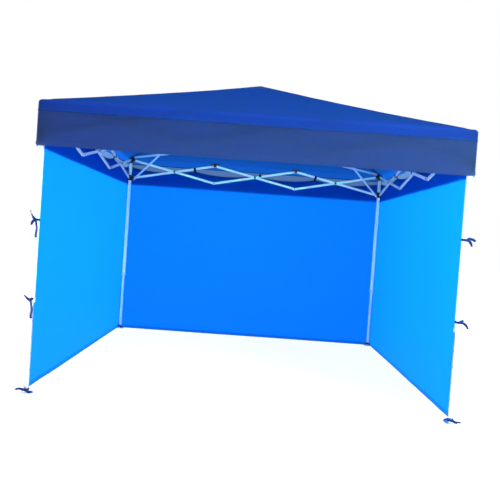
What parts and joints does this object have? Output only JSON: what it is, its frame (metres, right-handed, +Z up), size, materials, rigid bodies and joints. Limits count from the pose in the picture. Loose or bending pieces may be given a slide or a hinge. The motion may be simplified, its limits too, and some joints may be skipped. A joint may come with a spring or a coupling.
{
  "type": "pop up canopy",
  "caption": "Square folding canopy: telescoping legs, scissor side trusses, hinged roof arms, a peaked cover with valance and three side walls.",
  "frame": {"origin": "on the ground under the peak", "axes": "+Z up, the open front faces -Y, +X to the right seen from the front"},
  "size_m": [2.98, 2.98, 2.556],
  "materials": {
    "white_steel": "white powder coat",
    "zinc_steel": "zinc plated",
    "black_nylon": "moulded nylon",
    "cover_fabric": "coated woven polyester",
    "wall_fabric": "coated woven polyester"
  },
  "bodies": {
    "leg_bl": {"upper_leg_bl": "white_steel", "top_bracket_bl": "black_nylon", "canopy_cover": "cover_fabric", "wall_back": "wall_fabric", "wall_left": "wall_fabric"},
    "leg_br": {"upper_leg_br": "white_steel", "top_bracket_br": "black_nylon", "wall_right": "wall_fabric"},
    "leg_fl": {"upper_leg_fl": "white_steel", "top_bracket_fl": "black_nylon"},
    "leg_fr": {"upper_leg_fr": "white_steel", "top_bracket_fr": "black_nylon"},
    "bar_back_a1": {"truss_back_a1": "white_steel"},
    "bar_back_a2": {"truss_back_a2": "white_steel"},
    "bar_back_a3": {"truss_back_a3": "white_steel"},
    "bar_back_b1": {"truss_back_b1": "white_steel"},
    "bar_back_b2": {"truss_back_b2": "white_steel"},
    "bar_back_b3": {"truss_back_b3": "white_steel"},
    "bar_left_a1": {"truss_left_a1": "white_steel"},
    "bar_left_a2": {"truss_left_a2": "white_steel"},
    "bar_left_a3": {"truss_left_a3": "white_steel"},
    "bar_left_b1": {"truss_left_b1": "white_steel"},
    "bar_left_b2": {"truss_left_b2": "white_steel"},
    "bar_left_b3": {"truss_left_b3": "white_steel"},
    "bar_right_a1": {"truss_right_a1": "white_steel"},
    "bar_right_a2": {"truss_right_a2": "white_steel"},
    "bar_right_a3": {"truss_right_a3": "white_steel"},
    "bar_right_b1": {"truss_right_b1": "white_steel"},
    "bar_right_b2": {"truss_right_b2": "white_steel"},
    "bar_right_b3": {"truss_right_b3": "white_steel"},
    "bar_front_a1": {"truss_front_a1": "white_steel"},
    "bar_front_a2": {"truss_front_a2": "white_steel"},
    "bar_front_a3": {"truss_front_a3": "white_steel"},
    "bar_front_b1": {"truss_front_b1": "white_steel"},
    "bar_front_b2": {"truss_front_b2": "white_steel"},
    "bar_front_b3": {"truss_front_b3": "white_steel"},
    "rib_outer_bl": {"rib_outer_bl": "white_steel"},
    "rib_inner_bl": {"rib_inner_bl": "white_steel"},
    "strut_bl": {"strut_bl": "white_steel"},
    "slider_bl": {"slider_bl": "black_nylon"},
    "hub": {"peak_hub": "black_nylon", "peak_cap": "black_nylon"},
    "foot_bl": {"lower_leg_bl": "zinc_steel"},
    "rib_outer_br": {"rib_outer_br": "white_steel"},
    "rib_inner_br": {"rib_inner_br": "white_steel"},
    "strut_br": {"strut_br": "white_steel"},
    "slider_br": {"slider_br": "black_nylon"},
    "foot_br": {"lower_leg_br": "zinc_steel"},
    "rib_outer_fl": {"rib_outer_fl": "white_steel"},
    "rib_inner_fl": {"rib_inner_fl": "white_steel"},
    "strut_fl": {"strut_fl": "white_steel"},
    "slider_fl": {"slider_fl": "black_nylon"},
    "foot_fl": {"lower_leg_fl": "zinc_steel"},
    "rib_outer_fr": {"rib_outer_fr": "white_steel"},
    "rib_inner_fr": {"rib_inner_fr": "white_steel"},
    "strut_fr": {"strut_fr": "white_steel"},
    "slider_fr": {"slider_fr": "black_nylon"},
    "foot_fr": {"lower_leg_fr": "zinc_steel"}
  },
  "joints": [
    {"name": "fold", "type": "hinge", "parent": "leg_bl", "child": "bar_back_b1", "pos_m": [-1.408, 1.45, 1.96], "axis": [0, 1, 0], "range_deg": [0, 72.97], "deforming": ["canopy_cover", "wall_back", "wall_left", "wall_right"]},
    {"name": "back_a1_pin", "type": "hinge", "parent": "bar_back_b1", "child": "bar_back_a1", "pos_m": [-0.93867, 1.45, 1.86], "axis": [0, 1, 0], "range_deg": [-145.96, 0]},
    {"name": "back_a2_pin", "type": "hinge", "parent": "bar_back_b1", "child": "bar_back_a2", "pos_m": [-0.46933, 1.45, 1.76], "axis": [0, 1, 0], "range_deg": [-145.96, 0]},
    {"name": "back_b2_pin", "type": "hinge", "parent": "bar_back_a2", "child": "bar_back_b2", "pos_m": [0, 1.45, 1.86], "axis": [0, 1, 0], "range_deg": [0, 145.96]},
    {"name": "back_b3_pin", "type": "hinge", "parent": "bar_back_a2", "child": "bar_back_b3", "pos_m": [0.46933, 1.45, 1.96], "axis": [0, 1, 0], "range_deg": [0, 145.96]},
    {"name": "back_a3_pin", "type": "hinge", "parent": "bar_back_b3", "child": "bar_back_a3", "pos_m": [0.93867, 1.45, 1.86], "axis": [0, 1, 0], "range_deg": [-145.96, 0]},
    {"name": "slider_bl_pin", "type": "hinge", "parent": "bar_back_a1", "child": "slider_bl", "pos_m": [-1.408, 1.45, 1.76], "axis": [0, 1, 0], "range_deg": [0, 72.99]},
    {"name": "slider_br_pin", "type": "hinge", "parent": "bar_back_b3", "child": "slider_br", "pos_m": [1.408, 1.45, 1.76], "axis": [0, 1, 0], "range_deg": [-72.99, 0]},
    {"name": "leg_br_pin", "type": "hinge", "parent": "bar_back_a3", "child": "leg_br", "pos_m": [1.408, 1.45, 1.96], "axis": [0, 1, 0], "range_deg": [0, 72.99]},
    {"name": "left_b1_pin", "type": "hinge", "parent": "leg_bl", "child": "bar_left_b1", "pos_m": [-1.45, 1.408, 1.96], "axis": [1, 0, 0], "range_deg": [0, 72.99]},
    {"name": "left_a1_pin", "type": "hinge", "parent": "bar_left_b1", "child": "bar_left_a1", "pos_m": [-1.45, 0.93867, 1.86], "axis": [1, 0, 0], "range_deg": [-145.96, 0]},
    {"name": "left_a2_pin", "type": "hinge", "parent": "bar_left_b1", "child": "bar_left_a2", "pos_m": [-1.45, 0.46933, 1.76], "axis": [1, 0, 0], "range_deg": [-145.96, 0]},
    {"name": "left_b2_pin", "type": "hinge", "parent": "bar_left_a2", "child": "bar_left_b2", "pos_m": [-1.45, 0, 1.86], "axis": [1, 0, 0], "range_deg": [0, 145.96]},
    {"name": "left_b3_pin", "type": "hinge", "parent": "bar_left_a2", "child": "bar_left_b3", "pos_m": [-1.45, -0.46933, 1.96], "axis": [1, 0, 0], "range_deg": [0, 145.96]},
    {"name": "left_a3_pin", "type": "hinge", "parent": "bar_left_b3", "child": "bar_left_a3", "pos_m": [-1.45, -0.93867, 1.86], "axis": [1, 0, 0], "range_deg": [-145.96, 0]},
    {"name": "slider_fl_pin", "type": "hinge", "parent": "bar_left_b3", "child": "slider_fl", "pos_m": [-1.45, -1.408, 1.76], "axis": [1, 0, 0], "range_deg": [-72.99, 0]},
    {"name": "leg_fl_pin", "type": "hinge", "parent": "bar_left_a3", "child": "leg_fl", "pos_m": [-1.45, -1.408, 1.96], "axis": [1, 0, 0], "range_deg": [0, 72.99]},
    {"name": "right_b1_pin", "type": "hinge", "parent": "leg_br", "child": "bar_right_b1", "pos_m": [1.45, 1.408, 1.96], "axis": [1, 0, 0], "range_deg": [0, 72.99]},
    {"name": "right_a1_pin", "type": "hinge", "parent": "bar_right_b1", "child": "bar_right_a1", "pos_m": [1.45, 0.93867, 1.86], "axis": [1, 0, 0], "range_deg": [-145.96, 0]},
    {"name": "right_a2_pin", "type": "hinge", "parent": "bar_right_b1", "child": "bar_right_a2", "pos_m": [1.45, 0.46933, 1.76], "axis": [1, 0, 0], "range_deg": [-145.96, 0]},
    {"name": "right_b2_pin", "type": "hinge", "parent": "bar_right_a2", "child": "bar_right_b2", "pos_m": [1.45, 0, 1.86], "axis": [1, 0, 0], "range_deg": [0, 145.96]},
    {"name": "right_b3_pin", "type": "hinge", "parent": "bar_right_a2", "child": "bar_right_b3", "pos_m": [1.45, -0.46933, 1.96], "axis": [1, 0, 0], "range_deg": [0, 145.96]},
    {"name": "right_a3_pin", "type": "hinge", "parent": "bar_right_b3", "child": "bar_right_a3", "pos_m": [1.45, -0.93867, 1.86], "axis": [1, 0, 0], "range_deg": [-145.96, 0]},
    {"name": "slider_fr_pin", "type": "hinge", "parent": "bar_right_b3", "child": "slider_fr", "pos_m": [1.45, -1.408, 1.76], "axis": [1, 0, 0], "range_deg": [-72.99, 0]},
    {"name": "leg_fr_pin", "type": "hinge", "parent": "bar_right_a3", "child": "leg_fr", "pos_m": [1.45, -1.408, 1.96], "axis": [1, 0, 0], "range_deg": [0, 72.99]},
    {"name": "front_b1_pin", "type": "hinge", "parent": "leg_fl", "child": "bar_front_b1", "pos_m": [-1.408, -1.45, 1.96], "axis": [0, 1, 0], "range_deg": [0, 72.99]},
    {"name": "front_a1_pin", "type": "hinge", "parent": "bar_front_b1", "child": "bar_front_a1", "pos_m": [-0.93867, -1.45, 1.86], "axis": [0, 1, 0], "range_deg": [-145.96, 0]},
    {"name": "front_a2_pin", "type": "hinge", "parent": "bar_front_b1", "child": "bar_front_a2", "pos_m": [-0.46933, -1.45, 1.76], "axis": [0, 1, 0], "range_deg": [-145.96, 0]},
    {"name": "front_b2_pin", "type": "hinge", "parent": "bar_front_a2", "child": "bar_front_b2", "pos_m": [0, -1.45, 1.86], "axis": [0, 1, 0], "range_deg": [0, 145.96]},
    {"name": "front_b3_pin", "type": "hinge", "parent": "bar_front_a2", "child": "bar_front_b3", "pos_m": [0.46933, -1.45, 1.96], "axis": [0, 1, 0], "range_deg": [0, 145.96]},
    {"name": "front_a3_pin", "type": "hinge", "parent": "bar_front_b3", "child": "bar_front_a3", "pos_m": [0.93867, -1.45, 1.86], "axis": [0, 1, 0], "range_deg": [-145.96, 0]},
    {"name": "rib_outer_bl_pin", "type": "hinge", "parent": "leg_bl", "child": "rib_outer_bl", "pos_m": [-1.40616, 1.40616, 1.99], "axis": [0.7071, 0.7071, 0], "range_deg": [0, 82.94]},
    {"name": "elbow_bl_pin", "type": "hinge", "parent": "rib_outer_bl", "child": "rib_inner_bl", "pos_m": [-0.76985, 0.76985, 2.00445], "axis": [0.7071, 0.7071, 0], "range_deg": [-147.51, 0]},
    {"name": "strut_bl_pin", "type": "hinge", "parent": "slider_bl", "child": "strut_bl", "pos_m": [-1.40616, 1.40616, 1.74], "axis": [0.7071, 0.7071, 0], "range_deg": [-54.49, 0]},
    {"name": "hub_pin", "type": "hinge", "parent": "rib_inner_bl", "child": "hub", "pos_m": [-0.04243, 0.04243, 2.505], "axis": [0.7071, 0.7071, 0], "range_deg": [0, 64.59]},
    {"name": "rib_outer_br_pin", "type": "hinge", "parent": "leg_br", "child": "rib_outer_br", "pos_m": [1.40616, 1.40616, 1.99], "axis": [0.7071, -0.7071, 0], "range_deg": [0, 82.94]},
    {"name": "elbow_br_pin", "type": "hinge", "parent": "rib_outer_br", "child": "rib_inner_br", "pos_m": [0.76985, 0.76985, 2.00445], "axis": [0.7071, -0.7071, 0], "range_deg": [-147.51, 0]},
    {"name": "strut_br_pin", "type": "hinge", "parent": "slider_br", "child": "strut_br", "pos_m": [1.40616, 1.40616, 1.74], "axis": [0.7071, -0.7071, 0], "range_deg": [-54.49, 0]},
    {"name": "rib_outer_fl_pin", "type": "hinge", "parent": "leg_fl", "child": "rib_outer_fl", "pos_m": [-1.40616, -1.40616, 1.99], "axis": [-0.7071, 0.7071, 0], "range_deg": [0, 82.94]},
    {"name": "elbow_fl_pin", "type": "hinge", "parent": "rib_outer_fl", "child": "rib_inner_fl", "pos_m": [-0.76985, -0.76985, 2.00445], "axis": [-0.7071, 0.7071, 0], "range_deg": [-147.51, 0]},
    {"name": "strut_fl_pin", "type": "hinge", "parent": "slider_fl", "child": "strut_fl", "pos_m": [-1.40616, -1.40616, 1.74], "axis": [-0.7071, 0.7071, 0], "range_deg": [-54.49, 0]},
    {"name": "rib_outer_fr_pin", "type": "hinge", "parent": "leg_fr", "child": "rib_outer_fr", "pos_m": [1.40616, -1.40616, 1.99], "axis": [-0.7071, -0.7071, 0], "range_deg": [0, 82.94]},
    {"name": "elbow_fr_pin", "type": "hinge", "parent": "rib_outer_fr", "child": "rib_inner_fr", "pos_m": [0.76985, -0.76985, 2.00445], "axis": [-0.7071, -0.7071, 0], "range_deg": [-147.51, 0]},
    {"name": "strut_fr_pin", "type": "hinge", "parent": "slider_fr", "child": "strut_fr", "pos_m": [1.40616, -1.40616, 1.74], "axis": [-0.7071, -0.7071, 0], "range_deg": [-54.49, 0]},
    {"name": "leg_slide_bl", "type": "slide", "parent": "leg_bl", "child": "foot_bl", "axis": [0, 0, 1], "range_m": [-0.3, 0.55]},
    {"name": "leg_slide_br", "type": "slide", "parent": "leg_br", "child": "foot_br", "axis": [0, 0, 1], "range_m": [-0.3, 0.55]},
    {"name": "leg_slide_fl", "type": "slide", "parent": "leg_fl", "child": "foot_fl", "axis": [0, 0, 1], "range_m": [-0.3, 0.55]},
    {"name": "leg_slide_fr", "type": "slide", "parent": "leg_fr", "child": "foot_fr", "axis": [0, 0, 1], "range_m": [-0.3, 0.55]}
  ],
  "couplings": [
    {"joint": "back_a1_pin", "follows": "fold", "ratio": -2},
    {"joint": "back_a2_pin", "follows": "fold", "ratio": -2},
    {"joint": "back_b2_pin", "follows": "fold", "ratio": 2},
    {"joint": "back_b3_pin", "follows": "fold", "ratio": 2},
    {"joint": "back_a3_pin", "follows": "fold", "ratio": -2},
    {"joint": "slider_bl_pin", "follows": "fold", "ratio": 1},
    {"joint": "slider_br_pin", "follows": "fold", "ratio": -1},
    {"joint": "leg_br_pin", "follows": "fold", "ratio": 1},
    {"joint": "left_b1_pin", "follows": "fold", "ratio": 1},
    {"joint": "left_a1_pin", "follows": "fold", "ratio": -2},
    {"joint": "left_a2_pin", "follows": "fold", "ratio": -2},
    {"joint": "left_b2_pin", "follows": "fold", "ratio": 2},
    {"joint": "left_b3_pin", "follows": "fold", "ratio": 2},
    {"joint": "left_a3_pin", "follows": "fold", "ratio": -2},
    {"joint": "slider_fl_pin", "follows": "fold", "ratio": -1},
    {"joint": "leg_fl_pin", "follows": "fold", "ratio": 1},
    {"joint": "right_b1_pin", "follows": "fold", "ratio": 1},
    {"joint": "right_a1_pin", "follows": "fold", "ratio": -2},
    {"joint": "right_a2_pin", "follows": "fold", "ratio": -2},
    {"joint": "right_b2_pin", "follows": "fold", "ratio": 2},
    {"joint": "right_b3_pin", "follows": "fold", "ratio": 2},
    {"joint": "right_a3_pin", "follows": "fold", "ratio": -2},
    {"joint": "slider_fr_pin", "follows": "fold", "ratio": -1},
    {"joint": "leg_fr_pin", "follows": "fold", "ratio": 1},
    {"joint": "front_b1_pin", "follows": "fold", "ratio": 1},
    {"joint": "front_a1_pin", "follows": "fold", "ratio": -2},
    {"joint": "front_a2_pin", "follows": "fold", "ratio": -2},
    {"joint": "front_b2_pin", "follows": "fold", "ratio": 2},
    {"joint": "front_b3_pin", "follows": "fold", "ratio": 2},
    {"joint": "front_a3_pin", "follows": "fold", "ratio": -2},
    {"joint": "rib_outer_bl_pin", "follows": "fold", "ratio": 1.1363},
    {"joint": "elbow_bl_pin", "follows": "fold", "ratio": -2.0213},
    {"joint": "strut_bl_pin", "follows": "fold", "ratio": -0.7464},
    {"joint": "hub_pin", "follows": "fold", "ratio": 0.88494},
    {"joint": "rib_outer_br_pin", "follows": "fold", "ratio": 1.1363},
    {"joint": "elbow_br_pin", "follows": "fold", "ratio": -2.0213},
    {"joint": "strut_br_pin", "follows": "fold", "ratio": -0.7464},
    {"joint": "rib_outer_fl_pin", "follows": "fold", "ratio": 1.1363},
    {"joint": "elbow_fl_pin", "follows": "fold", "ratio": -2.0213},
    {"joint": "strut_fl_pin", "follows": "fold", "ratio": -0.7464},
    {"joint": "rib_outer_fr_pin", "follows": "fold", "ratio": 1.1363},
    {"joint": "elbow_fr_pin", "follows": "fold", "ratio": -2.0213},
    {"joint": "strut_fr_pin", "follows": "fold", "ratio": -0.7464}
  ]
}
